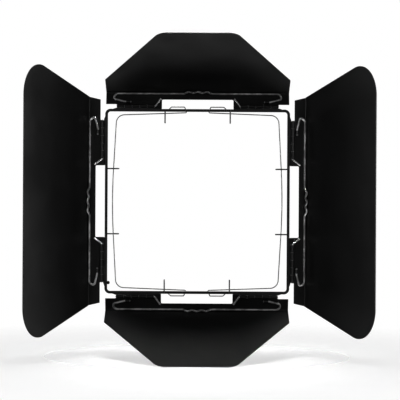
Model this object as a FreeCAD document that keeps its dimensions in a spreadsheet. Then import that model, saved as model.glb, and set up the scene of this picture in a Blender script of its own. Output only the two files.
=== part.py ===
"""Barn door attachment for a lamp reflector: a shallow square frame with four hinged leaves.

X points right, Z up, and the front, where the light leaves, faces -Y. The origin is the centre
of the frame's rear face, on the lamp's axis. "Depth" below is distance forward of that face.
Each leaf is drawn in its own axes: X along the hinge, Y out along the flange, Z off its front.
"""
import FreeCAD, Part
import math
import os

import Sketcher
from FreeCAD import Placement, Rotation, Vector

X_AXIS, Y_AXIS, Z_AXIS = Vector(1, 0, 0), Vector(0, 1, 0), Vector(0, 0, 1)

SIZES = {
    # the sheet and the frame
    "sheet": 1.0,             # thickness of all the folded aluminium
    "opening": 199.0,         # clear width and height inside the frame
    "frame_corner": 4.0,      # outside corner radius
    "rear_lip": 1.9,          # how far the rear edge is turned out
    "hinge_out": 105.0,       # hinge axis to the lamp's axis
    "hinge_depth_tb": 12.5,   # hinge axis depth, top and bottom
    "hinge_depth_lr": 16.0,   # the side leaves fold over the other two
    "lip_out": 103.1,         # outer edge of the turned lip behind the knuckles
    "lip_gap": 0.2,
    "lip_start": 39.8,
    "lip_end": 90.0,
    "lip_slope": 8.5,
    # the hinges
    "knuckle_rad": 2.1,
    "bore_rad": 1.05,
    "pin_rad": 1.0,
    "hinge_start": 47.25,     # distance from the leaf's middle to its first knuckle
    "knuckle_pitch": 8.35,
    "knuckle_gap": 0.16,
    "pin_over": 0.5,          # how far the pin stands out of the last knuckle
    "pin_bend_at": 0.65,      # and how far inboard of the first one it bends
    "pin_bend": 1.5,
    "pin_tail": 9.2,          # how far the bent tail lies out over the flange
    "pin_tail_in": 6.0,       # and how far inboard it slants
    # what the four leaves share
    "flange": 18.0,           # hinge axis to the outer face of the fold
    "panel": 142.0,           # length of the panel beyond the fold
    "slot_half": 39.5,
    "slot_reach": 9.0,
    "slot_corner": 1.5,
    "tab_in": 2.0,            # flange tab under the pin's tail, inboard of the axis
    "notch": 2.6,
    "end_cut": 3.2,
    # the side leaves
    "side_hinge_half": 112.0,
    "side_fold_half": 115.4,
    "side_tip_half": 153.6,
    "side_round": 33.0,
    # the top and bottom leaves
    "tb_half": 101.0,
    "tb_shoulder": 31.5,
    "tb_tip_half": 40.2,
    "tb_round": 15.2,
    # the filter clips
    "clip_rad": 1.2,
    "clip_high": 0.2,         # height of the clip's centre line above the hinge axis
    "clip_pivot": 5.2,
    "clip_front": 15.1,
    "clip_hairpin": 92.6,
    "clip_end": 3.2,          # leg's end, inboard of the loop's middle
    "clip_leg": 3.4,          # leg's bend, outboard of it
    "clip_rise": 3.4,
    "clip_back": 1.6,
    "leg_bend": 3.0,
    "hairpin_bend": 2.6,
    "front_bend": 4.8,
    "grip_step": 5.1,         # the wave in the middle, which a finger can grip
    "grip_high": 5.6,
    "grip_low": 1.8,
    "grip_bend": 2.0,
    "loop_at": 76.5,
    "loop_width": 4.5,
    "loop_rad": 2.05,
    # the rim fingers, retaining springs and stud
    "finger_rad": 0.7,
    "finger_at": 36.0,
    "finger_depth": 8.0,
    "finger_reach": 87.0,
    "finger_hook": 3.4,
    "finger_tail": 13.0,
    "finger_bend": 0.8,
    "spring_rad": 0.5,
    "spring_depth": 2.5,
    "spring_mid": 94.8,       # corner of the bowed back's path, at its middle
    "spring_corner": 89.6,
    "spring_arm": 95.4,       # height of the arm where it meets the back
    "spring_corner_bend": 9.0,
    "spring_bow": 650.0,
    "spring_travel": 3.0,
    "hook_at": 12.0,          # where the arm's end hooks out through the wall
    "hook_in": 98.3,
    "hook_out": 104.6,
    "hook_end": 31.4,
    "hook_tip": 102.3,
    "hook_slope": 2.5,
    "hook_bend": 1.1,
    "stud_ball": 1.8,
    "stud_stand": 1.4,        # ball's centre to the wall
    "stud_at": 90.0,
    "stud_rad": 1.25,
    "stud_depth": 6.5,
    "stud_head_rad": 1.9,
    "stud_head_top": 1.5,
    "stud_head": 0.75,
    "fit": 0.05,              # clearance between touching pieces
}

# leaf: turn about the lamp's axis, elevation of its panel above the frame plane as hung
LEAVES = {
    "top_leaf": (0, 67.5),
    "right_leaf": (90, 62.5),
    "bottom_leaf": (180, 69.5),
    "left_leaf": (270, 65.0),
}
SIDE_NAMES = {0: "top", 90: "right", 180: "bottom", 270: "left"}

doc = FreeCAD.newDocument("barn_doors")
sheet = doc.addObject("Spreadsheet::Sheet", "Dimensions")
for row, (alias, number) in enumerate(SIZES.items(), start=1):
    sheet.set(f"A{row}", alias)
    sheet.set(f"B{row}", str(number))
    sheet.setAlias(f"B{row}", alias)
doc.recompute()
nodes = []


def cell(text):
    """An expression on the sheet: every word in the text is an alias there."""
    out, word = "", ""
    for char in text + " ":
        if char.isalnum() or char == "_":
            word += char
            continue
        out += f"Dimensions.{word}" if word in SIZES else word
        out += char
        word = ""
    return out.strip()


def value(text):
    return float(sheet.evalExpression(cell(text)))


def bind(obj, **sizes):
    """Ties properties such as Length or Radius to expressions on the sheet."""
    for name, text in sizes.items():
        obj.setExpression(name, cell(text))
    return obj


def node(obj, label):
    """Marks a finished sub-part, which is written to a file of its own."""
    obj.Label = label
    nodes.append(obj)
    return obj


def new_body(label):
    return node(doc.addObject("PartDesign::Body", label), label)


def origin_plane(body, role):
    return next(o for o in body.Origin.OriginFeatures if o.Role == role)


def outline(body, plane, corners, shift="0"):
    """A closed straight-sided sketch, each corner tied to the sheet."""
    sketch = body.newObject("Sketcher::SketchObject", "Outline")
    sketch.AttachmentSupport = [(origin_plane(body, plane), "")]
    sketch.MapMode = "FlatFace"
    sketch.setExpression(".AttachmentOffset.Base.z", cell(shift))
    points = [Vector(value(a), value(b), 0) for a, b in corners]
    for start, end in zip(points, points[1:] + points[:1]):
        sketch.addGeometry(Part.LineSegment(start, end))
    for index, (a, b) in enumerate(corners):
        before = (index - 1) % len(corners)
        sketch.addConstraint(Sketcher.Constraint("Coincident", before, 2, index, 1))
        for way, text in (("DistanceX", a), ("DistanceY", b)):
            place = value(text)
            key = sketch.addConstraint(Sketcher.Constraint(way, -1, 1, index, 1, place))
            sketch.setExpression(f"Constraints[{key}]", cell(text))
    return sketch


def pad(body, sketch, length):
    feature = body.newObject("PartDesign::Pad", "Pad")
    feature.Profile = sketch
    return bind(feature, Length=length)


def pocket(body, sketch, length):
    """A cut both ways from the sketch; it has to take material away."""
    doc.recompute()
    before = body.Shape.Volume
    feature = body.newObject("PartDesign::Pocket", "Pocket")
    feature.Profile = sketch
    feature.Midplane = True
    bind(feature, Length=length)
    doc.recompute()
    assert feature.Shape.Volume < before - 0.01
    return feature


def rod(body, kind, radius, length, start, along):
    """Adds or cuts a cylinder that starts at a point and runs along an axis."""
    feature = body.newObject(f"PartDesign::{kind}Cylinder", "Rod")
    bind(feature, Radius=radius, Height=length)
    feature.Placement = Placement(Vector(), Rotation(Z_AXIS, along))
    for axis, text in zip("xyz", start):
        feature.setExpression(f".Placement.Base.{axis}", cell(text))
    return feature


def block(body, low, spans):
    """Adds a box from its lowest corner and its three lengths."""
    feature = body.newObject("PartDesign::AdditiveBox", "Block")
    bind(feature, Length=spans[0], Width=spans[1], Height=spans[2])
    for axis, text in zip("xyz", low):
        feature.setExpression(f".Placement.Base.{axis}", cell(text))
    return feature


def round_edges(body, radius, along, places):
    """Rounds the straight edges along one axis that pass through the places given."""
    doc.recompute()
    names = []
    for index, edge in enumerate(body.Shape.Edges, start=1):
        if len(edge.Vertexes) != 2 or edge.Curve.TypeId != "Part::GeomLine":
            continue
        run = edge.Vertexes[1].Point - edge.Vertexes[0].Point
        if run.cross(along).Length > 1e-4 * run.Length:
            continue
        for place in places:
            offset = edge.Vertexes[0].Point - place
            if offset.cross(along).Length < 0.02:
                names.append(f"Edge{index}")
    assert len(names) >= len(places), (body.Label, names)
    tip = body.Tip
    feature = body.newObject("PartDesign::Fillet", "Round")
    feature.Base = (tip, names)
    return bind(feature, Radius=radius)


def mirrored(half):
    """A full outline from its right half, whose corners run from left to right."""
    return [(f"-({a})", b) for a, b in reversed(half)] + list(half)


def rounded_path(corners, radii):
    """A wire through the corners, with an arc of the given radius at each inner corner."""
    edges, last = [], corners[0]
    for before, corner, after, radius in zip(corners, corners[1:], corners[2:], radii):
        back, ahead = (before - corner).normalize(), (after - corner).normalize()
        half = back.getAngle(ahead) / 2
        reach = radius / math.tan(half)
        middle = (back + ahead).normalize()
        bulge = radius / math.sin(half) - radius
        start, end = corner + back * reach, corner + ahead * reach
        edges.append(Part.makeLine(last, start))
        edges.append(Part.Arc(start, corner + middle * bulge, end).toShape())
        last = end
    edges.append(Part.makeLine(last, corners[-1]))
    return Part.Wire(edges)


def bent_wire(corners, radii, radius):
    """Round wire bent along a path, as a solid."""
    path = rounded_path(corners, radii)
    start = path.Edges[0]
    ring = Part.Wire(Part.makeCircle(radius, corners[0], start.tangentAt(start.FirstParameter)))
    return path.makePipeShell([ring], True, True)


def solid_node(label, shape, placement=Placement()):
    """Keeps a finished shape as a node, placed on the frame."""
    obj = doc.addObject("Part::Feature", label)
    obj.Shape = shape
    obj.Placement = placement
    return node(obj, label)


def turned(turn):
    return Placement(Vector(), Rotation(Y_AXIS, turn))


def hinge_depth(turn):
    return "hinge_depth_lr" if turn % 180 else "hinge_depth_tb"


def leaf_placement(turn, elevation):
    """Takes a leaf's own axes to its place on the frame."""
    axis = Vector(0, -value(hinge_depth(turn)), value("hinge_out"))
    return turned(turn) * Placement(axis, Rotation(X_AXIS, elevation))


def knuckle_start(index):
    return f"hinge_start + {index} * knuckle_pitch + knuckle_gap / 2"


def knuckle_end(index):
    return f"hinge_start + {index + 1} * knuckle_pitch - knuckle_gap / 2"


LEAF_KNUCKLES, FRAME_KNUCKLES = (0, 2, 4), (1, 3)


# --- the four leaves -----------------------------------------------------------------------

def flange_edge(half_at_hinge, half_at_fold):
    """Right half of the flange: slot, tab, a notch at each frame knuckle, then the outer end."""
    corners = [("slot_half", "slot_reach"), ("slot_half", "-tab_in"), ("hinge_start", "-tab_in")]
    corners.append(("hinge_start", "0"))
    for index in FRAME_KNUCKLES:
        low, high = f"hinge_start + {index} * knuckle_pitch", knuckle_start(index + 1)
        corners += [(low, "0"), (low, "notch"), (high, "notch"), (high, "0")]
    last = knuckle_end(LEAF_KNUCKLES[-1])
    corners += [(last, "0"), (last, "end_cut"), (half_at_hinge, "end_cut")]
    corners.append((half_at_fold, "flange"))
    return corners


def leaf_sheet(body, flange_half, panel_half):
    """The flange and the panel, folded at a right angle with a rounded fold."""
    flange = outline(body, "XY_Plane", mirrored(flange_half), "-knuckle_rad")
    pad(body, flange, "sheet")
    panel = outline(body, "XZ_Plane", mirrored(panel_half), "-flange")
    pad(body, panel, "sheet")
    doc.recompute()
    outer = Vector(0, value("flange"), -value("knuckle_rad"))
    inner = outer + Vector(0, -value("sheet"), value("sheet"))
    round_edges(body, "2 * sheet", X_AXIS, [outer])
    round_edges(body, "sheet", X_AXIS, [inner])


def leaf_hardware(body):
    """Rolled knuckles on the hinge line and two lanced loops that hold the filter clip."""
    for index in LEAF_KNUCKLES:
        for start in (knuckle_start(index), f"-({knuckle_end(index)})"):
            rod(body, "Additive", "knuckle_rad", "knuckle_pitch - knuckle_gap",
                (start, "0", "0"), X_AXIS)
    for middle in ("loop_at", "-loop_at"):
        start = f"{middle} - loop_width / 2"
        rod(body, "Additive", "loop_rad", "loop_width", (start, "clip_pivot", "clip_high"), X_AXIS)
        block(body, (start, "clip_pivot - loop_rad", "sheet / 2 - knuckle_rad"),
              ("loop_width", "2 * loop_rad", "knuckle_rad - sheet / 2"))
        rod(body, "Subtractive", "clip_rad + fit", "loop_width + 2 * sheet",
            (f"{start} - sheet", "clip_pivot", "clip_high"), X_AXIS)
    rod(body, "Subtractive", "bore_rad", "2 * side_hinge_half", ("-side_hinge_half", "0", "0"),
        X_AXIS)


def leaf(label, turn, elevation):
    body = new_body(label)
    foot, tip = "-knuckle_rad", "panel - knuckle_rad"
    if turn % 180:
        leaf_sheet(body, flange_edge("side_hinge_half", "side_fold_half"),
                   [("side_tip_half", tip), ("side_fold_half", foot)][::-1])
        corners, radius = [Vector(value("side_tip_half"), 0, value(tip))], "side_round"
    else:
        shoulder = "tb_shoulder - knuckle_rad"
        leaf_sheet(body, flange_edge("tb_half", "tb_half"),
                   [("tb_half", foot), ("tb_half", shoulder), ("tb_tip_half", tip)])
        corners, radius = [Vector(value("tb_tip_half"), 0, value(tip))], "tb_round"
    corners += [Vector(-c.x, c.y, c.z) for c in corners]
    round_edges(body, radius, Y_AXIS, corners)
    slot = Vector(value("slot_half"), value("slot_reach"), 0)
    notch = Vector(value(knuckle_end(LEAF_KNUCKLES[-1])), value("end_cut"), 0)
    corners = [slot, notch]
    corners += [Vector(-c.x, c.y, 0) for c in corners]
    round_edges(body, "slot_corner", Z_AXIS, corners)
    leaf_hardware(body)
    body.Placement = leaf_placement(turn, elevation)


def hinge_pins(label, turn, elevation):
    """Two pins, each with its inner end bent out over the flange to keep it in."""
    far = value(knuckle_end(LEAF_KNUCKLES[-1])) + value("pin_over")
    bend, out = value("hinge_start - pin_bend_at"), value("pin_tail")
    shapes = []
    for way in (1, -1):
        corners = [Vector(way * far, 0, 0), Vector(way * bend, 0, 0)]
        corners.append(Vector(way * (bend - value("pin_tail_in")), out, 0))
        shapes.append(bent_wire(corners, [value("pin_bend")], value("pin_rad")))
    solid_node(label, Part.makeCompound(shapes), leaf_placement(turn, elevation))


def filter_clip(label, turn, elevation):
    """A sprung wire that lies along the fold and turns in the leaf's two lanced loops."""
    pivot, front, hairpin = value("clip_pivot"), value("clip_front"), value("clip_hairpin")
    base, step = value("clip_high"), value("grip_step")
    half = [(value("loop_at - clip_end"), pivot), (value("loop_at + clip_leg"), pivot),
            (hairpin, pivot + value("clip_rise")), (hairpin - value("clip_back"), front)]
    right = [Vector(u, out, base) for u, out in half]
    left = [Vector(-c.x, c.y, base) for c in reversed(right)]
    wave = [Vector(3 * step, front, base)]
    for index in (2, 1, 0, -1, -2):
        height = value("grip_low") if index % 2 else value("grip_high")
        wave.append(Vector(index * step, front, height))
    wave.append(Vector(-3 * step, front, base))
    end_bends = [value("leg_bend"), value("hairpin_bend"), value("front_bend")]
    bends = end_bends + [value("grip_bend")] * len(wave) + end_bends[::-1]
    shape = bent_wire(right + wave + left, bends, value("clip_rad"))
    solid_node(label, shape, leaf_placement(turn, elevation))


# --- the frame -----------------------------------------------------------------------------

def frame_ring(body):
    """Four thin walls and the lip round their rear edge, with rounded corners.

    The top and bottom walls are cut back in front, behind their leaves' hinges.
    """
    lip, half, inner = "opening / 2 + sheet + rear_lip", "opening / 2 + sheet", "opening / 2"
    squares = [outline(body, "XZ_Plane", [(f"-({reach})", f"-({reach})"), (reach, f"-({reach})"),
               (reach, reach), (f"-({reach})", reach)]) for reach in (lip, half, inner)]
    pad(body, squares[0], "sheet")
    pad(body, squares[1], "hinge_depth_lr - knuckle_rad - lip_gap")
    pocket(body, squares[2], "4 * hinge_depth_lr")
    radii = ("frame_corner + rear_lip", "frame_corner", "frame_corner - sheet")
    for reach, radius in zip((lip, half, inner), radii):
        corners = [Vector(x * value(reach), 0, z * value(reach)) for x in (1, -1) for z in (1, -1)]
        round_edges(body, radius, Y_AXIS, corners)
    step = "opening / 2 - frame_corner"
    corners = [(f"-({step})", "-opening"), (step, "-opening"), (step, "opening"),
               (f"-({step})", "opening")]
    front = outline(body, "XZ_Plane", corners, "hinge_depth_lr - knuckle_rad - lip_gap")
    pocket(body, front, "2 * (hinge_depth_lr - hinge_depth_tb)")


def prism(points, along):
    """A flat outline pushed along a vector."""
    return Part.Face(Part.makePolygon(points + points[:1])).extrude(along)


def lug(turn):
    """What one wall carries in front: a turned lip in two halves, with two knuckles on each."""
    depth, out, rad = value(hinge_depth(turn)), value("hinge_out"), value("knuckle_rad")
    thick, lip, wall = value("sheet"), value("lip_out"), value("opening / 2 + sheet / 2")
    front = depth - rad - value("lip_gap")
    start, end = value("lip_start"), value("lip_end")
    # the tongue under a knuckle, as (depth, distance from the lamp's axis)
    tongue = [(front - thick, wall), (front - thick, lip), (depth - rad, lip), (depth - rad, out),
              (depth - rad + thick, out), (depth - rad + thick, wall)]
    pieces = []
    for way in (1, -1):
        corners = [(start, wall), (start, lip), (end, lip), (end + value("lip_slope"), wall)]
        pieces.append(prism([Vector(way * u, thick - front, z) for u, z in corners],
                            Vector(0, -thick, 0)))
        for index in FRAME_KNUCKLES:
            first, last = value(knuckle_start(index)), value(knuckle_end(index))
            inner = min(way * first, way * last)
            pieces.append(prism([Vector(inner, -y, z) for y, z in tongue],
                                Vector(last - first, 0, 0)))
            axis = Vector(inner, -depth, out)
            pieces.append(Part.makeCylinder(rad, last - first, axis, X_AXIS))
    bore = Part.makeCylinder(value("bore_rad"), 2 * out, Vector(-out, -depth, out), X_AXIS)
    shape = pieces[0].multiFuse(pieces[1:]).cut(bore)
    shape.Placement = turned(turn)
    return shape


def frame():
    """The folded frame: its ring of walls, fused with four lugs, then drilled."""
    ring = doc.addObject("PartDesign::Body", "frame_ring")
    frame_ring(ring)
    lugs = []
    for turn in SIDE_NAMES:
        obj = doc.addObject("Part::Feature", f"{SIDE_NAMES[turn]}_lug")
        obj.Shape = lug(turn)
        lugs.append(obj)
    body = doc.addObject("Part::MultiFuse", "folded_frame")
    body.Shapes = [ring] + lugs
    drills = doc.addObject("Part::MultiFuse", "drills")
    drills.Shapes = [drill for turn in SIDE_NAMES for drill in wall_drills(turn)]
    cut = doc.addObject("Part::Cut", "frame")
    cut.Base, cut.Tool = body, drills
    node(cut, "frame")


def wall_drills(turn):
    """Holes through one wall for the rim fingers and stud, and slots for the springs' arms."""
    holes = [(at, "finger_depth", "finger_rad + fit") for at in ("finger_at", "-finger_at")]
    if SIDE_NAMES[turn] == "left":
        holes.append(("-stud_at", "stud_depth", "stud_rad + fit"))
    low = value("opening / 2 - 3 * sheet")
    for along, depth, radius in holes:
        drill = doc.addObject("Part::Cylinder", "drill")
        bind(drill, Radius=radius, Height="6 * sheet")
        start = Vector(value(along), -value(depth), low)
        drill.Placement = turned(turn) * Placement(start, Rotation())
        yield drill
    if turn % 180:
        return
    for start in ("hook_at - spring_rad", "-(hook_at + hook_slope + spring_travel)"):
        slot = doc.addObject("Part::Box", "slot")
        bind(slot, Length="hook_slope + spring_travel + spring_rad",
             Width="2 * spring_rad + 8 * fit", Height="6 * sheet")
        corner = Vector(value(start), -value("spring_depth + spring_rad + 4 * fit"), low)
        slot.Placement = turned(turn) * Placement(corner, Rotation())
        yield slot


# --- what holds the reflector ----------------------------------------------------------------

def rim_fingers(label, turn):
    """Two wire fingers through one wall, hooked back at the tip in front of the rim."""
    out = value("opening / 2 + sheet + finger_rad + fit")
    depth, reach = value("finger_depth"), value("finger_reach")
    shapes = []
    for way in (1, -1):
        at = way * value("finger_at")
        corners = [Vector(at + way * value("finger_tail"), -depth, out), Vector(at, -depth, out),
                   Vector(at, -depth, reach), Vector(at, value("finger_hook") - depth, reach)]
        shapes.append(bent_wire(corners, [value("finger_bend")] * 2, value("finger_rad")))
    solid_node(label, Part.makeCompound(shapes), turned(turn))


def retaining_spring(label, way):
    """A C of thin spring wire whose bowed back snaps behind the reflector's rim.

    Each arm's end hooks out through a slot in the wall and lies back along its outer face.
    """
    depth, slope, out = -value("spring_depth"), value("hook_slope"), value("hook_out")
    hook, end, corner = value("hook_at"), value("hook_end"), value("spring_corner")
    half = [(end, value("hook_tip")), (end - slope, out), (hook + slope, out),
            (hook, value("hook_in")), (corner, value("spring_arm"))]
    corners = [Vector(way * x, depth, z) for x, z in half]
    corners.append(Vector(way * value("spring_mid"), depth, 0))
    corners += [Vector(way * x, depth, -z) for x, z in reversed(half)]
    bends = [value("hook_bend")] * 3 + [value("spring_corner_bend")]
    bends += [value("spring_bow")] + bends[::-1]
    solid_node(label, bent_wire(corners, bends, value("spring_rad")))


def locating_stud(label):
    """A ball-ended stud riveted through the left wall, which steadies the reflector's rim."""
    ball, shank, gap = value("stud_ball"), value("stud_rad"), value("fit")
    inner, outer = value("opening / 2"), value("opening / 2 + sheet")
    centre = inner - value("stud_stand")
    start = Vector(-value("stud_at"), -value("stud_depth"), 0)
    away = Part.makeBox(4 * ball, 4 * ball, 4 * ball, Vector(-2 * ball, -2 * ball, inner - gap))
    head, rim, top = value("stud_head"), value("stud_head_rad"), value("stud_head_top")
    profile = [(0, centre), (shank, centre), (shank, outer + gap), (rim, outer + gap),
               (top, outer + head), (0, outer + head)]
    points = [Vector(radius, 0, height) for radius, height in profile]
    stem = Part.Face(Part.makePolygon(points + points[:1])).revolve(Vector(), Z_AXIS, 360)
    shape = Part.makeSphere(ball, Vector(0, 0, centre)).cut(away).fuse(stem)
    solid_node(label, shape, turned(270) * Placement(start, Rotation()))


def build():
    frame()
    for label, (turn, elevation) in LEAVES.items():
        side = SIDE_NAMES[turn]
        leaf(label, turn, elevation)
        hinge_pins(f"{side}_hinge_pins", turn, elevation)
        filter_clip(f"{side}_filter_clip", turn, elevation)
        rim_fingers(f"{side}_rim_fingers", turn)
    retaining_spring("left_retaining_spring", -1)
    retaining_spring("right_retaining_spring", 1)
    locating_stud("locating_stud")


def check_and_write():
    doc.recompute()
    for obj in doc.Objects:
        assert not {"Invalid", "Error"} & set(obj.State), obj.Label
    os.makedirs("parts", exist_ok=True)
    for obj in nodes:
        shape = obj.Shape
        assert not shape.isNull() and shape.isValid(), obj.Label
        shape.exportStep(f"parts/{obj.Label}.step")


build()
check_and_write()
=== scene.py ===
"""Barn door attachment: finishes, stage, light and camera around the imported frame."""
import math

import bpy
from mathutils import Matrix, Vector


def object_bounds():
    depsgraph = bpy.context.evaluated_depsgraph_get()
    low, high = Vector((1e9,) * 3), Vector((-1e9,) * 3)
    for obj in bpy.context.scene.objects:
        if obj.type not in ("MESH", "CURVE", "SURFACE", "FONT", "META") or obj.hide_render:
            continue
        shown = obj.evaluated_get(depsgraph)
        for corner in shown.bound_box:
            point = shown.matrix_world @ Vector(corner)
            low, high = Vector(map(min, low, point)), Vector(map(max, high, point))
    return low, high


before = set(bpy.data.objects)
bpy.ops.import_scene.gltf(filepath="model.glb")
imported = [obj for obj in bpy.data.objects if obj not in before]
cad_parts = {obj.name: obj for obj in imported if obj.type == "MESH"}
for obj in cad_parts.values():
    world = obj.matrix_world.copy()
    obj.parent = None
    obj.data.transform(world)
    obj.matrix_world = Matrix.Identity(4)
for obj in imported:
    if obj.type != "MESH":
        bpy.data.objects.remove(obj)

CAD_LOW, CAD_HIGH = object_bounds()
MM = 0.001

# --- shader helpers --------------------------------------------------------------------------


class Shader:
    """A node material built up by name: add() makes a node and links what it is given."""

    def __init__(self, name):
        self.material = bpy.data.materials.new(name)
        self.material.use_nodes = True
        self.tree = self.material.node_tree
        self.surface = self.tree.nodes["Principled BSDF"]
        self.where = self.add("ShaderNodeTexCoord").outputs["Object"]

    def add(self, kind, settings=None, **inputs):
        node = self.tree.nodes.new(kind)
        for key, setting in (settings or {}).items():
            setattr(node, key, setting)
        for key, given in inputs.items():
            self.feed(node.inputs[key.replace("_", " ")], given)
        return node

    def feed(self, socket, given):
        if isinstance(given, bpy.types.NodeSocket):
            self.tree.links.new(given, socket)
        else:
            socket.default_value = given

    def noise(self, scale, detail=4.0, roughness=0.55):
        """Fractal noise in the object's own space; scale is in features per metre."""
        node = self.add("ShaderNodeTexNoise", Vector=self.where, Scale=scale, Detail=detail,
                        Roughness=roughness)
        return node.outputs["Fac"]

    def remap(self, value, span, to):
        node = self.add("ShaderNodeMapRange", Value=value)
        set_range(node, span, to)
        return node.outputs["Result"]

    def mix(self, factor, first, second):
        node = self.add("ShaderNodeMix", {"data_type": "RGBA"})
        factor_socket, first_colour, second_colour = (node.inputs[i] for i in (0, 6, 7))
        self.feed(factor_socket, factor)
        self.feed(first_colour, first)
        self.feed(second_colour, second)
        return next(out for out in node.outputs if out.type == "RGBA")

    def math(self, operation, first, second):
        node = self.add("ShaderNodeMath", {"operation": operation})
        self.feed(node.inputs[0], first)
        self.feed(node.inputs[1], second)
        return node.outputs["Value"]

    def edge_mask(self, width, threshold):
        """1 on sharp edges and 0 on flats: how far a bevelled normal leaves the true one."""
        bevel = self.add("ShaderNodeBevel", {"samples": 4}, Radius=width)
        true = self.add("ShaderNodeNewGeometry").outputs["Normal"]
        dot = self.add("ShaderNodeVectorMath", {"operation": "DOT_PRODUCT"})
        self.feed(dot.inputs[0], bevel.outputs["Normal"])
        self.feed(dot.inputs[1], true)
        return self.remap(dot.outputs["Value"], span=(1.0, threshold), to=(0.0, 1.0))

    def bump(self, height, strength, distance, under=None):
        node = self.add("ShaderNodeBump", Height=height, Strength=strength, Distance=distance)
        if under:
            self.feed(node.inputs["Normal"], under)
        return node.outputs["Normal"]

    def finish(self, **inputs):
        for key, given in inputs.items():
            self.feed(self.surface.inputs[key.replace("_", " ")], given)
        return self.material


def set_range(node, span, to):
    """Sets what a Map Range node maps from, and to."""
    for key, number in zip(("From Min", "From Max", "To Min", "To Max"), (*span, *to)):
        node.inputs[key].default_value = number


def grey(level):
    return (level, level, level, 1.0)


# --- finishes --------------------------------------------------------------------------------

RUBBED_EDGE = 0.2 * MM        # how far wear reaches in from an edge
RUBBED_GREY = 0.22


def powder_coat(name, level, roughness, worn):
    """Black powder coat: fine grain, faint orange peel, handling marks and rubbed edges."""
    shader = Shader(name)
    grain = shader.noise(scale=2600, detail=2.0)
    peel = shader.noise(scale=420, detail=2.0)
    smears = shader.noise(scale=16, detail=5.0, roughness=0.62)
    smeared = shader.remap(smears, span=(0.35, 0.7), to=(0.0, 1.0))
    tone = shader.mix(smeared, grey(level), grey(level * 1.5))
    specks = shader.remap(shader.noise(scale=900, detail=1.0), span=(0.72, 0.76), to=(0.0, 0.6))
    tone = shader.mix(specks, tone, grey(level * 4))
    patches = shader.remap(shader.noise(scale=90), span=(0.45, 0.6), to=(0.0, worn))
    rubbed = shader.math("MULTIPLY", shader.edge_mask(RUBBED_EDGE, threshold=0.8), patches)
    tone = shader.mix(rubbed, tone, grey(RUBBED_GREY))
    smear_rough = shader.remap(smears, span=(0.3, 0.7), to=(roughness - 0.05, roughness + 0.06))
    grain_rough = shader.remap(grain, span=(0.3, 0.7), to=(-0.04, 0.04))
    rough = shader.math("ADD", smear_rough, grain_rough)
    normal = shader.bump(grain, strength=0.25, distance=0.05 * MM,
                         under=shader.bump(peel, strength=0.2, distance=0.12 * MM))
    return shader.finish(Base_Color=tone, Roughness=rough, Metallic=0.0, Normal=normal,
                         Specular_IOR_Level=0.6)


def black_wire(name, level, roughness):
    """Blackened drawn wire: fine marks, and lighter patches where the black is thin."""
    shader = Shader(name)
    marks = shader.noise(scale=700, detail=3.0)
    thin = shader.remap(shader.noise(scale=120), span=(0.42, 0.62), to=(0.0, 1.0))
    tone = shader.mix(thin, grey(level), grey(level * 2.4))
    rough = shader.remap(marks, span=(0.3, 0.7), to=(roughness - 0.06, roughness + 0.1))
    return shader.finish(Base_Color=tone, Roughness=rough, Metallic=0.75,
                         Normal=shader.bump(marks, strength=0.2, distance=0.03 * MM))


def assign(material, *nodes):
    for name in nodes:
        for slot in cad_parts[name].material_slots:
            slot.material = material


def finish_parts():
    sides = ("top", "bottom", "left", "right")
    leaf = powder_coat("Leaf_powder_coat", level=0.005, roughness=0.44, worn=0.15)
    assign(leaf, *[f"{side}_leaf" for side in sides])
    assign(powder_coat("Frame_powder_coat", level=0.007, roughness=0.4, worn=0.12), "frame")
    assign(powder_coat("Stud_paint", level=0.008, roughness=0.35, worn=0.6), "locating_stud")
    clip = black_wire("Clip_wire", level=0.26, roughness=0.56)
    assign(clip, *[f"{side}_filter_clip" for side in sides])
    pin = black_wire("Pin_wire", level=0.42, roughness=0.46)
    assign(pin, *[f"{side}_hinge_pins" for side in sides])
    springs = [f"{side}_rim_fingers" for side in sides]
    springs += ["left_retaining_spring", "right_retaining_spring"]
    assign(black_wire("Spring_wire", level=0.16, roughness=0.40), *springs)


# --- stage -----------------------------------------------------------------------------------

FLOOR_RADIUS = 1.3
FLOOR_FADED_AT = 0.52         # where the floor has faded out
FLOOR_FADE = 0.6              # how far it has faded already in its middle
FLOOR_GAP = 0.4 * MM          # between the floor and the lowest leaf at rest


def floor():
    """A pale round floor under the lowest leaf that fades out into the white surroundings."""
    bpy.ops.mesh.primitive_circle_add(vertices=96, radius=FLOOR_RADIUS, fill_type="NGON",
                                      location=(0, 0, CAD_LOW.z - FLOOR_GAP))
    disc = bpy.context.object
    disc.name = "Floor"
    disc.visible_shadow = False     # the light from below reaches the leaves
    disc.visible_diffuse = disc.visible_glossy = False
    shader = Shader("Pale_floor")
    length = shader.add("ShaderNodeVectorMath", {"operation": "LENGTH"})
    shader.feed(length.inputs[0], shader.where)
    fade = shader.remap(length.outputs["Value"], span=(0, FLOOR_FADED_AT), to=(FLOOR_FADE, 1))
    shader.finish(Base_Color=shader.mix(shader.noise(scale=30), grey(0.9), grey(0.87)),
                  Roughness=0.6)
    clear = shader.add("ShaderNodeBsdfTransparent")
    blend = shader.add("ShaderNodeMixShader")
    shader.feed(blend.inputs[0], fade)
    shader.feed(blend.inputs[1], shader.surface.outputs[0])
    shader.feed(blend.inputs[2], clear.outputs[0])
    out = shader.tree.nodes["Material Output"]
    shader.feed(out.inputs["Surface"], blend.outputs[0])
    disc.data.materials.append(shader.material)


# how bright the room is in front, behind, and beside the object, where it's lit as a band
ROOM_IN_FRONT, ROOM_BEHIND, ROOM_BESIDE = 0.03, 0.004, 0.4
BEHIND_TO_FRONT = (0.3, -0.9)  # directions' Y, between which the first two shade over
BAND_EDGE = (0.4, 0.1)         # size of Y, between which the band comes up


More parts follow.
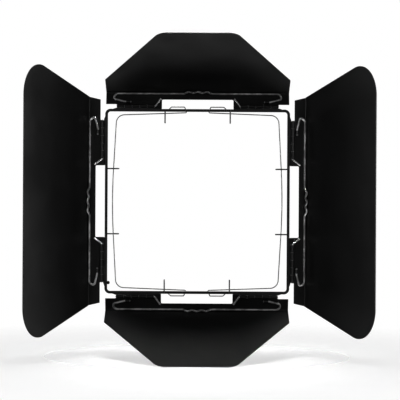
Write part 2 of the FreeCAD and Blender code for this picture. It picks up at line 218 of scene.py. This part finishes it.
def surroundings():
    """White to the camera; to everything the object reflects, a dim room, darker behind."""
    world = bpy.data.worlds.new("Room")
    bpy.context.scene.world = world
    world.use_nodes = True
    tree = world.node_tree
    tree.nodes.clear()
    seen, lit = (tree.nodes.new("ShaderNodeBackground") for _ in range(2))
    seen.inputs["Color"].default_value = (1, 1, 1, 1)
    seen.inputs["Strength"].default_value = 1.0
    lit.inputs["Color"].default_value = (0.96, 0.98, 1.0, 1)
    where = tree.nodes.new("ShaderNodeTexCoord")
    split = tree.nodes.new("ShaderNodeSeparateXYZ")
    tree.links.new(where.outputs["Generated"], split.inputs[0])
    grade, band = (tree.nodes.new("ShaderNodeMapRange") for _ in range(2))
    set_range(grade, BEHIND_TO_FRONT, (ROOM_BEHIND, ROOM_IN_FRONT))
    set_range(band, BAND_EDGE, (0, ROOM_BESIDE))
    tree.links.new(split.outputs["Y"], grade.inputs["Value"])
    size, total = (tree.nodes.new("ShaderNodeMath") for _ in range(2))
    size.operation, total.operation = "ABSOLUTE", "ADD"
    tree.links.new(split.outputs["Y"], size.inputs[0])
    tree.links.new(size.outputs[0], band.inputs["Value"])
    tree.links.new(grade.outputs["Result"], total.inputs[0])
    tree.links.new(band.outputs["Result"], total.inputs[1])
    tree.links.new(total.outputs[0], lit.inputs["Strength"])
    rays = tree.nodes.new("ShaderNodeLightPath")
    blend = tree.nodes.new("ShaderNodeMixShader")
    out = tree.nodes.new("ShaderNodeOutputWorld")
    tree.links.new(rays.outputs["Is Camera Ray"], blend.inputs[0])
    tree.links.new(lit.outputs[0], blend.inputs[1])
    tree.links.new(seen.outputs[0], blend.inputs[2])
    tree.links.new(blend.outputs[0], out.inputs["Surface"])


# --- lights ----------------------------------------------------------------------------------

REACH = 1.45                  # how far out the four main lights stand
SIDE_LEVEL = -0.30            # and where along the lamp's axis: ahead of the leaves' tips
BEAM_LEVEL = -0.42            # the same for the two narrow beams
BEAM_SPREAD = 16              # degrees


def softbox(name, place, aim, size, power, spread=180):
    data = bpy.data.lights.new(name, "AREA")
    data.shape = "RECTANGLE"
    data.size, data.size_y = size
    data.energy = power
    data.spread = math.radians(spread)
    light = bpy.data.objects.new(name, data)
    light.location = place
    light.rotation_euler = (Vector(aim) - Vector(place)).to_track_quat("-Z", "Y").to_euler()
    light.visible_camera = False
    bpy.context.scene.collection.objects.link(light)


def lights():
    """Four lights ahead of the leaves' tips, two weak ones in front and three outside.

    Each of the four shines on the leaf across from it, and its own leaf shades the fold there.
    The ones above and below are narrow beams, which keeps them off the side leaves. The outside
    ones graze the backs of the leaves, for views from behind.
    """
    for name, way, power in (("Over", 1, 0.6), ("Under", -1, 0.46)):
        softbox(name, place=(0, BEAM_LEVEL, way * REACH), aim=(0, -0.1, -way * 0.14),
                size=(0.1, 0.5), power=power, spread=BEAM_SPREAD)
    for name, way, power in (("Left", -1, 8), ("Right", 1, 19)):
        softbox(name, place=(way * REACH, SIDE_LEVEL, 0), aim=(0, SIDE_LEVEL, 0),
                size=(0.42, 0.36), power=power)
        softbox(f"Front_{name}", place=(way * 0.8, -1.5, 0.22), aim=(0, 0, 0),
                size=(0.5, 0.5), power=4.8)
        softbox(f"Outside_{name}", place=(way * 1.4, 0.05, 0), aim=(0, 0.04, 0),
                size=(0.08, 0.5), power=5)
    softbox("Outside_Top", place=(0, 0.05, 1.4), aim=(0, 0.04, 0), size=(0.5, 0.08), power=5)


# --- camera ----------------------------------------------------------------------------------

FRAME_PLANE = -0.012          # the frame's front edges, which set the picture's scale
CAMERA_DISTANCE = 2.0
CAMERA_HEIGHT = 0.004
CAMERA_ROLL = -0.3            # degrees
PICTURE_WIDTH = 0.441         # what the picture spans at the frame plane
PICTURE_SHIFT = (0.0069, -0.0051)


def camera():
    data = bpy.data.cameras.new("Camera")
    data.sensor_width = 36.0
    data.lens = data.sensor_width * CAMERA_DISTANCE / PICTURE_WIDTH
    data.shift_x, data.shift_y = PICTURE_SHIFT
    data.clip_start, data.clip_end = 0.1, 20.0
    eye = bpy.data.objects.new("Camera", data)
    eye.location = (0, FRAME_PLANE - CAMERA_DISTANCE, CAMERA_HEIGHT)
    eye.rotation_euler = (math.radians(90), math.radians(CAMERA_ROLL), 0)
    bpy.context.scene.collection.objects.link(eye)
    bpy.context.scene.camera = eye


finish_parts()
floor()
surroundings()
lights()
camera()
bpy.context.scene.view_settings.view_transform = "Standard"
bpy.context.scene.view_settings.gamma = 0.8     # deepens the blacks; white stays white
